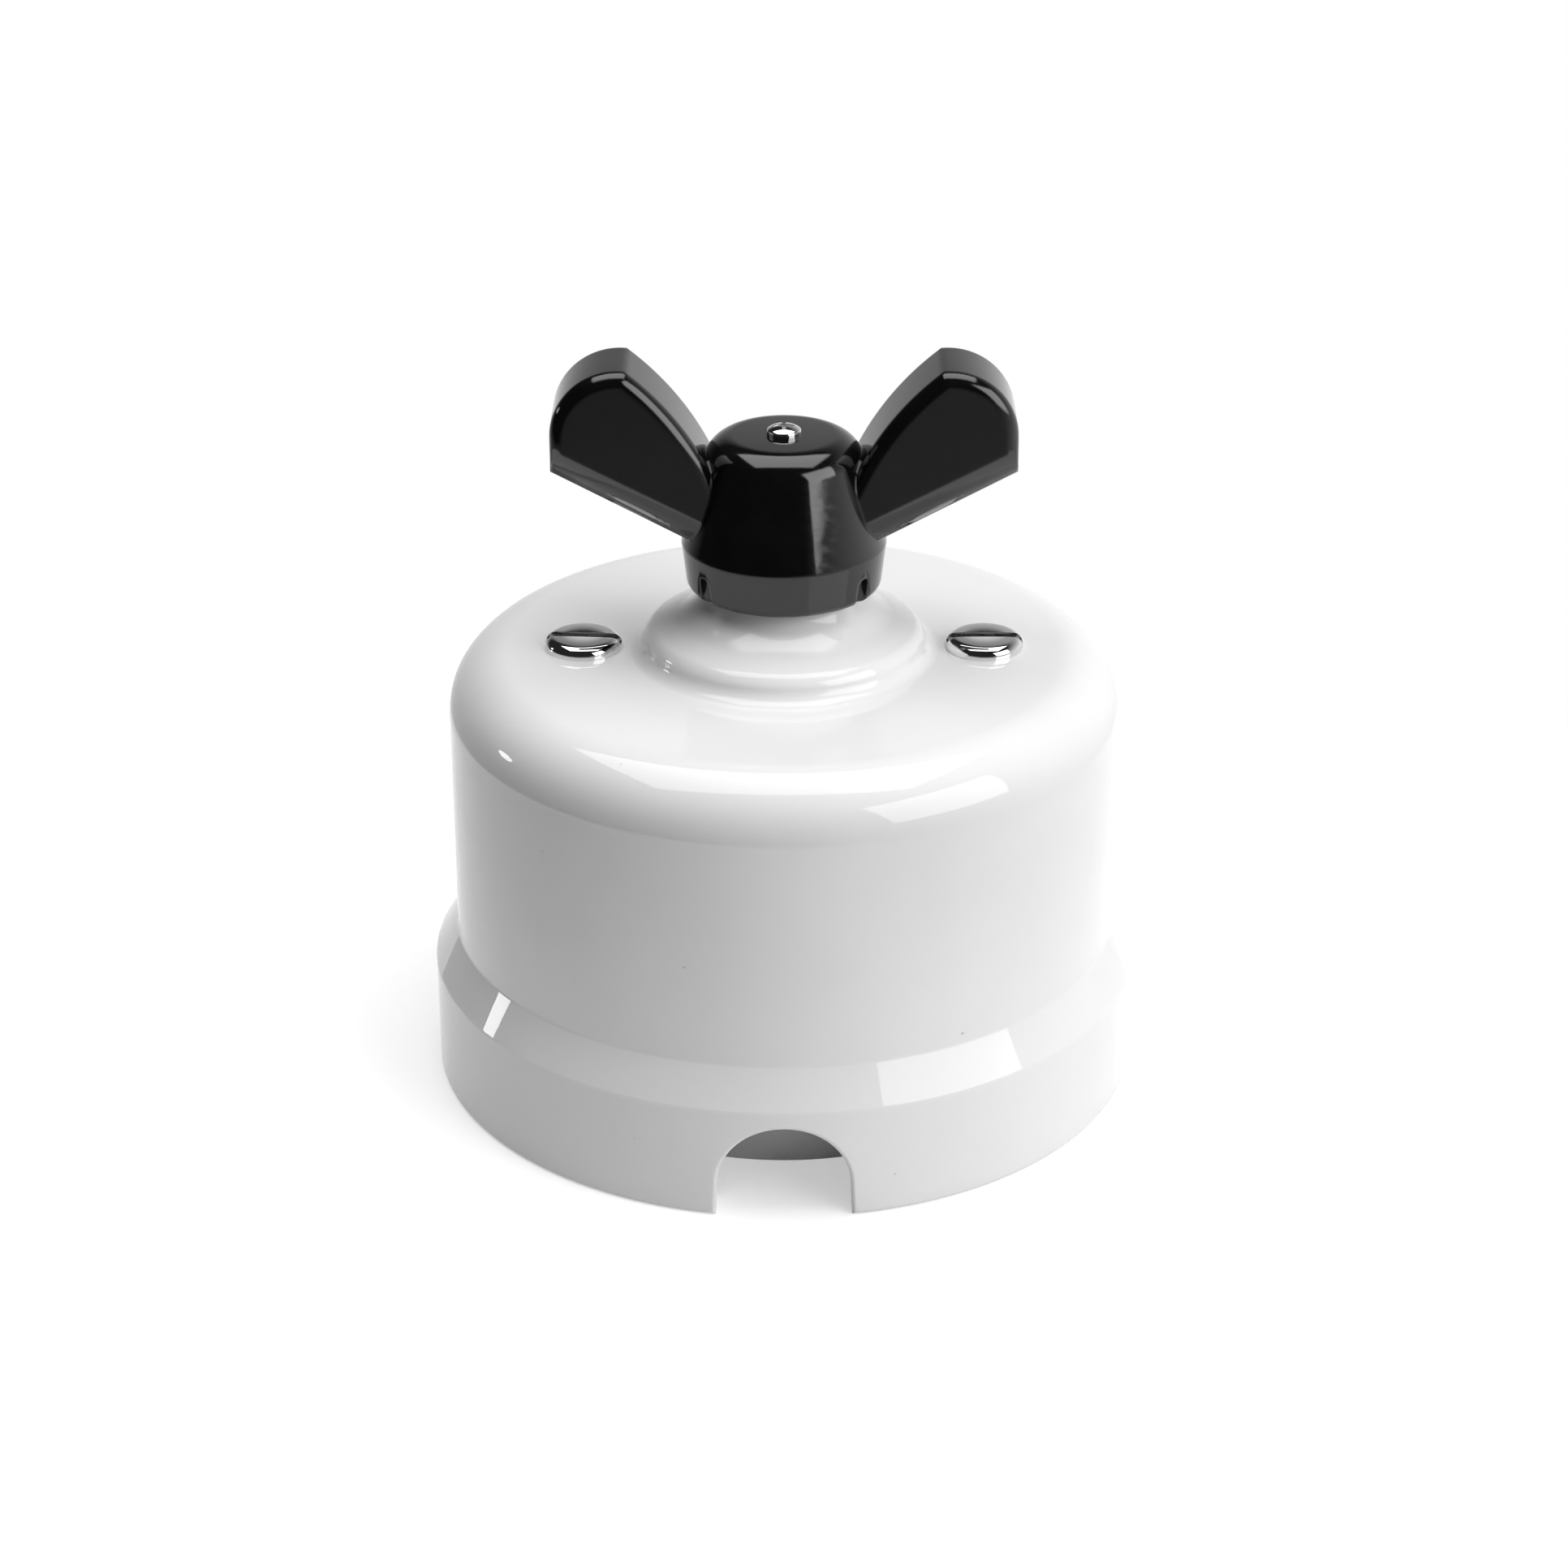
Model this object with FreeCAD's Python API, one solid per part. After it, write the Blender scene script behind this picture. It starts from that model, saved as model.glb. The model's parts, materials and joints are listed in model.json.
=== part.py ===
import FreeCAD, Part
import math
import os

# Surface-mounted porcelain rotary switch. Millimetres, +Z up.
# The origin is the centre of the face that goes against the wall.
# The wings lie along X, the cable notch faces -Y, and the two cover screws are at +X and -X.

# Cover: one bell of glazed porcelain
cover_radius = 32.72
cover_height = 43.4
cover_edge_round = 5.8
cover_wall = 3.7
cover_crown_wall = 4.0
cover_inner_round = 3.0
skirt_radius = 35.0
skirt_height = 11.33
shoulder_height = 3.75
shoulder_round = 0.7
glaze_round = 0.5

# Collar that rises from the cover to the spindle
collar_foot_radius = 13.8
collar_foot_round = 1.5
collar_rim_radius = 13.5
collar_rim_rise = 2.25
collar_rim_round = 1.6
collar_slope_deg = 21.5
collar_flare_radius = 8.3
collar_flare_round = 6.0
neck_radius = 7.0
neck_above_flare = 3.44
collar_wall = 3.2

# Cable notch in the skirt
notch_width = 12.5
notch_height = 9.55
notch_draft_deg = 3.0

# Base: a round block of glazed porcelain that stands on the wall
base_height = 9.0
base_round = 0.6
base_rim = 1.4
wall_screw_rim = 2.4
wall_screw_hole_radius = 2.25
wall_screw_sink_radius = 4.3
wall_screw_sink_depth = 3.5

# Fixings between base, pillars and cover
cover_screw_spacing = 39.0
cover_screw_head_radius = 3.75
cover_screw_head_height = 1.25
cover_screw_edge_round = 0.95
cover_screw_crown_rise = 0.08
cover_screw_slot_width = 1.1
cover_screw_slot_depth = 0.8
left_screw_turn_deg = -4.0
right_screw_turn_deg = 0.0
thread_radius = 2.0
thread_clearance = 0.05
hole_clearance = 0.25
cover_screw_floor = 1.8
pillar_screw_grip = 7.0
pillar_radius = 3.75
pillar_screw_head_radius = 3.4
pillar_screw_head_height = 2.4
counterbore_clearance = 0.4
counterbore_depth = 3.4
lower_pillar_share = 0.66
pillar_stud_length = 6.0
thread_run_out = 1.0

# Bridge: the steel plate between the pillars that carries the mechanism
bridge_thickness = 1.5
bridge_strip_width = 9.0
bridge_disc_radius = 13.5

# Spindle and its bearings
running_clearance = 0.05
end_play = 0.1
pivot_radius = 2.0
pivot_depth = 4.0
pivot_end_gap = 0.5
thrust_washer_radius = 4.2
thrust_washer_thickness = 1.0
drive_square = 5.6
drive_corner_radius = 3.5
journal_radius = 3.0
knob_square = 5.0
spindle_hole_gap = 0.5
lower_bush_radius = 3.5
lower_bush_floor = 0.8
lower_flange_radius = 5.5
lower_flange_thickness = 1.0
upper_bush_radius = 4.2
upper_flange_radius = 5.5
upper_flange_thickness = 1.0
upper_bush_stand = 1.5
ring_groove_radius = 2.5
ring_outer_radius = 4.8
ring_thickness = 0.8
ring_gap = 3.6

# Contact drum, its brass segments and the indexing cam
drum_radius = 9.0
drum_share = 0.64
drum_edge_chamfer = 0.4
segment_angle_deg = 110.0
segment_thickness = 1.6
segment_share = 0.56
segment_screw_share = 0.18
segment_screw_head_share = 0.32
segment_screw_head_height = 0.9
segment_screw_sink = 0.15
segment_screw_length = 4.0
cam_width = 10.0
cam_corner_radius = 6.6
cam_bush_gap = 1.9

# Detent springs and the pins that hold their rolled ends
leaf_thickness = 0.5
leaf_share = 0.8
leaf_gap = 0.05
leaf_pin_spacing = 17.0
leaf_pin_radius = 1.0
leaf_pin_head_radius = 1.5
leaf_pin_head_height = 0.6

# Fixed contacts and terminals, one at each quarter
terminal_count = 4
terminal_first_deg = 45.0
terminal_pin_gap = 0.2
terminal_length = 7.0
terminal_width = 7.0
terminal_height = 8.0
terminal_chamfer = 0.4
contact_gap = 0.08
contact_thickness = 0.8
contact_width = 5.0
contact_below_drum_top = 1.1
wire_hole_radius = 1.7
wire_hole_height = 4.6
wire_hole_depth = 5.6
clamp_screw_radius = 1.5
clamp_screw_head_radius = 2.6
clamp_screw_head_height = 1.8
clamp_screw_bite = 0.8
small_slot_width = 0.7
small_slot_depth = 0.8
fixing_screw_radius = 1.45
fixing_screw_grip = 2.3
fixing_head_radius = 2.6
fixing_head_height = 1.6

# Knob: one black moulding with two wings
knob_lift = 6.7
knob_height = 15.2
knob_edge_radius = 9.86
knob_edge_height = 4.54
knob_foot_radius = 9.33
knob_foot_round = 0.9
knob_top_radius = 7.0
knob_top_round = 2.75
knob_recess_gap = 0.9
knob_recess_depth = 3.9
knob_top_web = 4.1
slot_radius = 0.8
slot_height = 2.9
slot_angle_deg = 52.0

# Wings of the knob, seen from the front
wing_span = 44.1
wing_thickness = 9.2
wing_slope_deg = 28.05
wing_foot_height = 0.86
wing_shoulder_radius = 6.5
wing_shoulder_height = 16.1
wing_tip_angle_deg = 95.9
wing_inner_radius = 27.95
wing_root_height = 11.68
wing_edge_round = 1.3
wing_under_chamfer = 1.35
wing_corner_round = 0.6
wing_root_depth = 3.4
wing_root_round = 0.45

# Knob screw: small chromed screw in the hub
knob_screw_head_radius = 1.66
knob_screw_side = 0.35
knob_screw_dome = 0.6
knob_screw_radius = 1.0
knob_screw_length = 9.0
knob_screw_slot_width = 0.35
knob_screw_slot_depth = 0.35

# Places that follow from the sizes above
half_spacing = cover_screw_spacing / 2
pillar_sink_radius = pillar_screw_head_radius + counterbore_clearance
base_radius = half_spacing + pillar_sink_radius + base_rim
wall_screw_offset = base_radius - wall_screw_sink_radius - wall_screw_rim
spindle_hole_radius = journal_radius + spindle_hole_gap
inner_radius = cover_radius - cover_wall
skirt_inner_radius = skirt_radius - cover_wall
crown_inside = cover_height - cover_crown_wall
shoulder_top = skirt_height + shoulder_height
rim_height = cover_height + collar_rim_rise
collar_slope = math.tan(math.radians(collar_slope_deg))
flare_height = rim_height + (collar_rim_radius - collar_flare_radius) * collar_slope
neck_top = flare_height + neck_above_flare
pillar_room = crown_inside - base_height - bridge_thickness
lower_pillar_length = pillar_room * lower_pillar_share
upper_pillar_length = pillar_room - lower_pillar_length
cover_screw_grip = upper_pillar_length - thread_run_out - cover_screw_floor
bridge_bottom = base_height + lower_pillar_length
bridge_top = bridge_bottom + bridge_thickness
flange_top = base_height + lower_flange_thickness
washer_bottom = flange_top + end_play
drum_bottom = washer_bottom + thrust_washer_thickness
cam_top = bridge_bottom - upper_flange_thickness - cam_bush_gap
drum_height = (cam_top - drum_bottom) * drum_share
drum_top = drum_bottom + drum_height
cam_height = cam_top - drum_top
segment_height = drum_height * segment_share
segment_screw_radius = segment_height * segment_screw_share
segment_screw_head_radius = segment_height * segment_screw_head_share
leaf_height = cam_height * leaf_share
contact_top = drum_top - contact_below_drum_top
bush_top = bridge_top + upper_bush_stand
ring_bottom = bush_top + end_play
knob_bottom = cover_height + knob_lift
knob_top = knob_bottom + knob_height
knob_seat = knob_bottom + knob_recess_depth
knob_recess_radius = neck_radius + knob_recess_gap
socket_top = knob_top - knob_top_web
spindle_top = socket_top - end_play
leaf_inner_y = cam_width / 2 + leaf_gap
pin_y = leaf_inner_y + leaf_thickness + running_clearance + leaf_pin_radius
pin_reach = math.hypot(leaf_pin_spacing / 2, pin_y) + leaf_pin_head_radius
terminal_radius = pin_reach + terminal_pin_gap + terminal_length / 2
leaf_middle = drum_top + cam_height / 2
strip_top = base_height + contact_thickness
block_top = strip_top + terminal_height
contact_inner = drum_radius + contact_gap
pillar_thread_radius = thread_radius + thread_clearance
cut_over = 1.0


def point(across, up, depth=0.0):
    """A point of a section: across is along X, up is along Z."""
    return FreeCAD.Vector(across, depth, up)


def rod(radius, bottom, top, x=0.0, y=0.0):
    """A round rod that stands along Z."""
    return Part.makeCylinder(radius, top - bottom, FreeCAD.Vector(x, y, bottom))


def block(x_size, y_size, bottom, top, x=0.0, y=0.0):
    """A rectangular block, centred on x and y."""
    corner = FreeCAD.Vector(x - x_size / 2, y - y_size / 2, bottom)
    return Part.makeBox(x_size, y_size, top - bottom, corner)


def section(corners):
    """A closed face in the XZ plane. Each corner is (across, up, rounding)."""
    ends = []
    count = len(corners)
    for i in range(count):
        across, up, rounding = corners[i]
        here = point(across, up)
        before = point(corners[i - 1][0], corners[i - 1][1])
        after = point(corners[(i + 1) % count][0], corners[(i + 1) % count][1])
        if not rounding:
            ends.append((here, None, here))
            continue
        back = (before - here).normalize()
        on = (after - here).normalize()
        half = back.getAngle(on) / 2
        reach = rounding / math.tan(half)
        inward = (back + on).normalize()
        middle = here + inward * (rounding / math.sin(half) - rounding)
        ends.append((here + back * reach, middle, here + on * reach))
    edges = []
    for i in range(count):
        first, middle, last = ends[i]
        following = ends[(i + 1) % count][0]
        if middle is not None:
            edges.append(Part.Arc(first, middle, last).toShape())
        if last.distanceToPoint(following) > 1e-6:
            edges.append(Part.LineSegment(last, following).toShape())
    return Part.Face(Part.Wire(edges))


def turned(corners):
    """A section turned about the Z axis."""
    axis = FreeCAD.Vector(0, 0, 1)
    return section(corners).revolve(FreeCAD.Vector(0, 0, 0), axis, 360)


def about_z(shape, angle):
    """A copy of a shape, turned about the Z axis."""
    copy = shape.copy()
    copy.rotate(FreeCAD.Vector(0, 0, 0), FreeCAD.Vector(0, 0, 1), angle)
    return copy


def shifted(shape, x=0.0, y=0.0, z=0.0):
    """A copy of a shape, moved."""
    copy = shape.copy()
    copy.translate(FreeCAD.Vector(x, y, z))
    return copy


def flatted(width, corner_radius, bottom, top):
    """A square bar whose corners are turned off to a radius."""
    return block(width, width, bottom, top).common(rod(corner_radius, bottom, top))


def save(name, shape):
    """Writes one piece as parts/NAME.step."""
    solids = shape.Solids
    if len(solids) != 1:
        raise ValueError(name + " is not one solid")
    solids[0].exportStep("parts/" + name + ".step")


def notch_cutter():
    """The upright slot with a round top and drafted sides that the cable comes through."""
    crown = notch_width / 2
    spring_line = notch_height - crown
    foot = crown + spring_line * math.tan(math.radians(notch_draft_deg))
    below = foot + cut_over * math.tan(math.radians(notch_draft_deg))
    depth = -(skirt_radius + cut_over)
    left_foot = point(-below, -cut_over, depth)
    left = point(-crown, spring_line, depth)
    top = point(0, notch_height, depth)
    right = point(crown, spring_line, depth)
    right_foot = point(below, -cut_over, depth)
    edges = [
        Part.LineSegment(left_foot, left).toShape(),
        Part.Arc(left, top, right).toShape(),
        Part.LineSegment(right, right_foot).toShape(),
        Part.LineSegment(right_foot, left_foot).toShape(),
    ]
    face = Part.Face(Part.Wire(edges))
    return face.extrude(FreeCAD.Vector(0, cover_wall * 2 + cut_over, 0))


def on_outer_wall(edge):
    """Whether an edge of the cover lies on the outside of the skirt, at the notch or the foot."""
    middle = edge.valueAt((edge.FirstParameter + edge.LastParameter) / 2)
    outside = abs(math.hypot(middle.x, middle.y) - skirt_radius) < 0.05
    return outside and middle.z < notch_height + 0.1 and edge.BoundBox.ZMax < skirt_height - 0.1


def porcelain_cover():
    """The bell-shaped cover, with its collar, screw holes and cable notch."""
    bore = spindle_hole_radius
    hollow_radius = collar_rim_radius - collar_wall
    hollow_top = rim_height - collar_rim_round
    shape = turned([
        (skirt_inner_radius, 0, 0),
        (skirt_radius, 0, 0),
        (skirt_radius, skirt_height, shoulder_round),
        (cover_radius, shoulder_top, shoulder_round),
        (cover_radius, cover_height, cover_edge_round),
        (collar_foot_radius, cover_height, collar_foot_round),
        (collar_rim_radius, rim_height, collar_rim_round),
        (collar_flare_radius, flare_height, collar_flare_round),
        (neck_radius, neck_top, glaze_round),
        (bore, neck_top, glaze_round),
        (bore, hollow_top, 0),
        (hollow_radius, hollow_top, glaze_round),
        (hollow_radius, crown_inside, glaze_round),
        (inner_radius, crown_inside, cover_inner_round),
        (inner_radius, shoulder_top - shoulder_round, 0),
        (skirt_inner_radius, skirt_height - shoulder_round, 0),
    ])
    for side in (-1, 1):
        hole_radius = thread_radius + hole_clearance
        x = side * half_spacing
        hole = rod(hole_radius, crown_inside - cut_over, cover_height + cut_over, x)
        shape = shape.cut(hole)
    shape = shape.cut(notch_cutter())
    rims = [edge for edge in shape.Edges if on_outer_wall(edge)]
    return shape.makeFillet(glaze_round, rims)


def porcelain_base():
    """The round base block, with seats for the bush, the pillars, the terminals and the wall screws."""
    shape = turned([
        (0, 0, 0),
        (base_radius, 0, base_round / 2),
        (base_radius, base_height, base_round),
        (0, base_height, 0),
    ])
    top = base_height + cut_over
    shape = shape.cut(rod(lower_bush_radius, base_height - pivot_depth - lower_bush_floor, top))
    for side in (-1, 1):
        y = side * wall_screw_offset
        shape = shape.cut(rod(wall_screw_hole_radius, -cut_over, top, 0, y))
        shape = shape.cut(rod(wall_screw_sink_radius, base_height - wall_screw_sink_depth, top, 0, y))
        x = side * half_spacing
        shape = shape.cut(rod(thread_radius + hole_clearance, -cut_over, top, x))
        shape = shape.cut(rod(pillar_sink_radius, -cut_over, counterbore_depth, x))
    for angle in terminal_angles():
        hole = rod(fixing_screw_radius + hole_clearance, -cut_over, top, terminal_radius)
        sink_radius = fixing_head_radius + counterbore_clearance
        sink = rod(sink_radius, -cut_over, counterbore_depth, terminal_radius)
        shape = shape.cut(about_z(hole, angle))
        shape = shape.cut(about_z(sink, angle))
    return shape


def terminal_angles():
    """The directions of the terminals around the spindle."""
    return [terminal_first_deg + i * 360 / terminal_count for i in range(terminal_count)]


def slotted(shape, width, length, depth, top, x=0.0, turn=0.0):
    """Cuts a straight screwdriver slot into the top of a head."""
    slot = block(length, width, top - depth, top + cut_over)
    return shape.cut(shifted(about_z(slot, turn), x))


def cover_screw(side, turn):
    """A raised-head screw that holds the cover down on its pillar."""
    crown = cover_height + cover_screw_head_height
    edge = crown - cover_screw_crown_rise
    tip = crown_inside - cover_screw_grip
    head = turned([
        (0, cover_height, 0),
        (cover_screw_head_radius, cover_height, 0),
        (cover_screw_head_radius, edge, cover_screw_edge_round),
        (0, crown, 0),
    ])
    screw = head.fuse(rod(thread_radius, tip, cover_height)).removeSplitter()
    screw = shifted(screw, side * half_spacing)
    length = cover_screw_head_radius * 2 + cut_over
    x = side * half_spacing
    return slotted(screw, cover_screw_slot_width, length, cover_screw_slot_depth, crown, x, turn)


def pillar_lower(side):
    """The brass pillar between the base and the bridge, tapped at both ends."""
    x = side * half_spacing
    shape = rod(pillar_radius, base_height, bridge_bottom, x)
    lower_hole = pillar_screw_grip + thread_run_out
    upper_hole = pillar_stud_length - bridge_thickness + thread_run_out
    foot = rod(pillar_thread_radius, base_height - cut_over, base_height + lower_hole, x)
    head = rod(pillar_thread_radius, bridge_bottom - upper_hole, bridge_bottom + cut_over, x)
    return shape.cut(foot).cut(head)


def pillar_upper(side):
    """The brass pillar from the bridge to the crown of the cover, with a stud below."""
    x = side * half_spacing
    shape = rod(pillar_radius, bridge_top, crown_inside, x)
    stud = rod(thread_radius, bridge_top - pillar_stud_length, bridge_top, x)
    depth = cover_screw_grip + thread_run_out
    hole = rod(pillar_thread_radius, crown_inside - depth, crown_inside + cut_over, x)
    return shape.fuse(stud).removeSplitter().cut(hole)


def pillar_screw(side):
    """The screw that holds a pillar to the base, from below."""
    x = side * half_spacing
    head_bottom = counterbore_depth - pillar_screw_head_height
    head = rod(pillar_screw_head_radius, head_bottom, counterbore_depth, x)
    shank = rod(thread_radius, counterbore_depth, base_height + pillar_screw_grip, x)
    slot_top = head_bottom + cover_screw_slot_depth
    slot = block(pillar_screw_head_radius * 2 + cut_over, cover_screw_slot_width, 0, slot_top, x)
    return head.fuse(shank).removeSplitter().cut(slot)


def bridge():
    """The plate that spans the pillars and carries the upper bush and the spring pins."""
    strip = block(cover_screw_spacing, bridge_strip_width, bridge_bottom, bridge_top)
    shape = strip.fuse(rod(bridge_disc_radius, bridge_bottom, bridge_top))
    for side in (-1, 1):
        x = side * half_spacing
        shape = shape.fuse(rod(bridge_strip_width / 2, bridge_bottom, bridge_top, x))
    shape = shape.removeSplitter()
    under = bridge_bottom - cut_over
    over = bridge_top + cut_over
    shape = shape.cut(rod(upper_bush_radius, under, over))
    for side in (-1, 1):
        shape = shape.cut(rod(thread_radius + hole_clearance, under, over, side * half_spacing))
    for x, y in leaf_pin_places():
        shape = shape.cut(rod(leaf_pin_radius, under, over, x, y))
    return shape


def leaf_pin_places():
    """Where the four spring pins stand."""
    reach = leaf_pin_spacing / 2
    return [(-reach, -pin_y), (reach, -pin_y), (-reach, pin_y), (reach, pin_y)]


def leaf_pin(x, y):
    """A headed pin pressed into the bridge, round which a spring's end is rolled."""
    head_top = leaf_middle - leaf_height / 2 - leaf_gap
    head_bottom = head_top - leaf_pin_head_height
    head = rod(leaf_pin_head_radius, head_bottom, head_top, x, y)
    return head.fuse(rod(leaf_pin_radius, head_top, bridge_top, x, y)).removeSplitter()


def detent_spring(side):
    """A leaf spring on edge beside the cam, rolled into an eye at each end."""
    bottom = leaf_middle - leaf_height / 2
    top = leaf_middle + leaf_height / 2
    y = side * (leaf_inner_y + leaf_thickness / 2)
    shape = block(leaf_pin_spacing, leaf_thickness, bottom, top, 0, y)
    eye_inner = leaf_pin_radius + running_clearance
    for end in (-1, 1):
        x = end * leaf_pin_spacing / 2
        eye = rod(eye_inner + leaf_thickness, bottom, top, x, side * pin_y)
        shape = shape.fuse(eye)
    shape = shape.removeSplitter()
    for end in (-1, 1):
        x = end * leaf_pin_spacing / 2
        under = bottom - cut_over
        over = top + cut_over
        shape = shape.cut(rod(eye_inner, under, over, x, side * pin_y))
    return shape


def lower_bush():
    """The flanged cup in the base that the foot of the spindle turns in."""
    bottom = base_height - pivot_depth - lower_bush_floor
    shape = rod(lower_bush_radius, bottom, base_height)
    shape = shape.fuse(rod(lower_flange_radius, base_height, flange_top)).removeSplitter()
    bore = rod(pivot_radius + running_clearance, base_height - pivot_depth, flange_top + cut_over)
    return shape.cut(bore)


def upper_bush():
    """The flanged bush in the bridge that guides the spindle."""
    flange_bottom = bridge_bottom - upper_flange_thickness
    shape = rod(upper_flange_radius, flange_bottom, bridge_bottom)
    shape = shape.fuse(rod(upper_bush_radius, bridge_bottom, bush_top)).removeSplitter()
    bore_radius = journal_radius + running_clearance
    return shape.cut(rod(bore_radius, flange_bottom - cut_over, bush_top + cut_over))


def spindle():
    """The brass spindle, turned in steps, with a square for the drum and cam and one for the knob."""
    pivot_bottom = base_height - pivot_depth + pivot_end_gap
    shape = rod(pivot_radius, pivot_bottom, drum_bottom)
    shape = shape.fuse(flatted(drive_square, drive_corner_radius, drum_bottom, cam_top))
    shape = shape.fuse(rod(journal_radius, cam_top, knob_seat))
    shape = shape.fuse(flatted(knob_square, journal_radius, knob_seat, spindle_top))
    shape = shape.removeSplitter()
    groove_top = ring_bottom + ring_thickness
    groove = rod(journal_radius + cut_over, ring_bottom, groove_top)
    groove = groove.cut(rod(ring_groove_radius, ring_bottom, groove_top))
    thread = rod(knob_screw_radius + thread_clearance, knob_thread_bottom(), spindle_top + cut_over)
    return shape.cut(groove).cut(thread)


def knob_thread_bottom():
    """How deep the thread for the knob screw goes into the spindle."""
    return knob_top - knob_screw_length - thread_run_out


def thrust_washer():
    """The washer under the drum, which keeps the drum and the cam up on their square."""
    shape = rod(thrust_washer_radius, washer_bottom, drum_bottom)
    bore_radius = pivot_radius + running_clearance
    return shape.cut(rod(bore_radius, washer_bottom - cut_over, drum_bottom + cut_over))


def retaining_ring():
    """The open ring in the spindle's groove that stops it from dropping out of the bush."""
    top = ring_bottom + ring_thickness
    shape = rod(ring_outer_radius, ring_bottom, top)
    shape = shape.cut(rod(ring_groove_radius, ring_bottom - cut_over, top + cut_over))
    mouth = ring_outer_radius
    gap = block(ring_gap, mouth * 2, ring_bottom - cut_over, top + cut_over, 0, mouth)
    return shape.cut(gap)


def segment_blank():
    """One brass contact segment before its screw hole, facing +Y."""
    middle = drum_bottom + drum_height / 2
    bottom = middle - segment_height / 2
    axis = FreeCAD.Vector(0, 0, 1)
    start = FreeCAD.Vector(0, 0, bottom)
    inner_radius_here = drum_radius - segment_thickness
    outer = Part.makeCylinder(drum_radius, segment_height, start, axis, segment_angle_deg)
    inner = Part.makeCylinder(inner_radius_here, segment_height, start, axis, segment_angle_deg)
    return about_z(outer.cut(inner), 90 - segment_angle_deg / 2)


def radial_rod(radius, inner, outer):
    """A rod that lies along +Y at the middle height of the drum."""
    middle = drum_bottom + drum_height / 2
    start = FreeCAD.Vector(0, inner, middle)
    return Part.makeCylinder(radius, outer - inner, start, FreeCAD.Vector(0, 1, 0))


def segment_screw_blank():
    """The small sunk screw that holds a segment in the drum, facing +Y."""
    outer = drum_radius - segment_screw_sink
    under_head = outer - segment_screw_head_height
    head = radial_rod(segment_screw_head_radius, under_head, outer)
    shank = radial_rod(segment_screw_radius, outer - segment_screw_length, under_head)
    middle = drum_bottom + drum_height / 2
    slot_depth = segment_screw_head_height / 2
    y = outer - slot_depth / 2 + cut_over / 2
    slot_bottom = middle - small_slot_width / 4
    slot_top = middle + small_slot_width / 4
    slot = block(segment_screw_head_radius * 3, slot_depth + cut_over, slot_bottom, slot_top, 0, y)
    return head.fuse(shank).removeSplitter().cut(slot)


def segment_screw_room():
    """The hole that a segment screw fills."""
    outer = drum_radius - segment_screw_sink
    under_head = outer - segment_screw_head_height
    wide = radial_rod(segment_screw_head_radius, under_head, drum_radius + cut_over)
    return wide.fuse(radial_rod(segment_screw_radius, outer - segment_screw_length, under_head))


def contact_segment(angle):
    """A brass segment let into the drum, which joins two neighbouring contacts."""
    return about_z(segment_blank().cut(segment_screw_room()), angle)


def segment_screw(angle):
    """A segment screw in its place."""
    return about_z(segment_screw_blank(), angle)


def contact_drum():
    """The ceramic drum on the spindle, with pockets for the two segments."""
    shape = turned([
        (0, drum_bottom, 0),
        (drum_radius - drum_edge_chamfer, drum_bottom, 0),
        (drum_radius, drum_bottom + drum_edge_chamfer, 0),
        (drum_radius, drum_top - drum_edge_chamfer, 0),
        (drum_radius - drum_edge_chamfer, drum_top, 0),
        (0, drum_top, 0),
    ])
    square = drive_square + 2 * running_clearance
    corner = drive_corner_radius + running_clearance
    shape = shape.cut(flatted(square, corner, drum_bottom - cut_over, drum_top + cut_over))
    for angle in (0, 180):
        shape = shape.cut(about_z(segment_blank(), angle))
        shape = shape.cut(about_z(segment_screw_room(), angle))
    return shape


def index_cam():
    """The square cam that the two springs press on, so that the knob stops every quarter turn."""
    shape = flatted(cam_width, cam_corner_radius, drum_top, cam_top)
    square = drive_square + 2 * running_clearance
    corner = drive_corner_radius + running_clearance
    return shape.cut(flatted(square, corner, drum_top - cut_over, cam_top + cut_over))


def contact_finger(angle):
    """A bent bronze strip: its foot is under the terminal, its leg stands beside the drum."""
    far_end = terminal_radius + terminal_length / 2
    inner = contact_inner
    leg = inner + contact_thickness
    bend = contact_thickness / 2
    profile = section([
        (far_end, base_height, 0),
        (inner, base_height, bend + contact_thickness),
        (inner, contact_top, 0),
        (leg, contact_top, 0),
        (leg, strip_top, bend),
        (far_end, strip_top, 0),
    ])
    profile.translate(FreeCAD.Vector(0, -contact_width / 2, 0))
    shape = profile.extrude(FreeCAD.Vector(0, contact_width, 0))
    hole_radius = fixing_screw_radius + hole_clearance
    hole = rod(hole_radius, base_height - cut_over, strip_top + cut_over, terminal_radius)
    return about_z(shape.cut(hole), angle)


def terminal_block(angle):
    """A brass terminal with a hole for the wire, facing outwards, and a tapped hole from above."""
    shape = block(terminal_length, terminal_width, strip_top, block_top, terminal_radius)
    uprights = [edge for edge in shape.Edges if edge.BoundBox.ZLength > terminal_height / 2]
    shape = shape.makeChamfer(terminal_chamfer, uprights)
    outer_face = terminal_radius + terminal_length / 2
    start = FreeCAD.Vector(outer_face - wire_hole_depth, 0, strip_top + wire_hole_height)
    wire_way = Part.makeCylinder(
        wire_hole_radius, wire_hole_depth + cut_over, start, FreeCAD.Vector(1, 0, 0)
    )
    from_above = rod(
        clamp_screw_radius + thread_clearance,
        strip_top + wire_hole_height,
        block_top + cut_over,
        terminal_radius,
    )
    from_below = rod(
        fixing_screw_radius + thread_clearance,
        strip_top - cut_over,
        strip_top + fixing_screw_grip + thread_clearance,
        terminal_radius,
    )
    return about_z(shape.cut(wire_way).cut(from_above).cut(from_below), angle)


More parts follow.
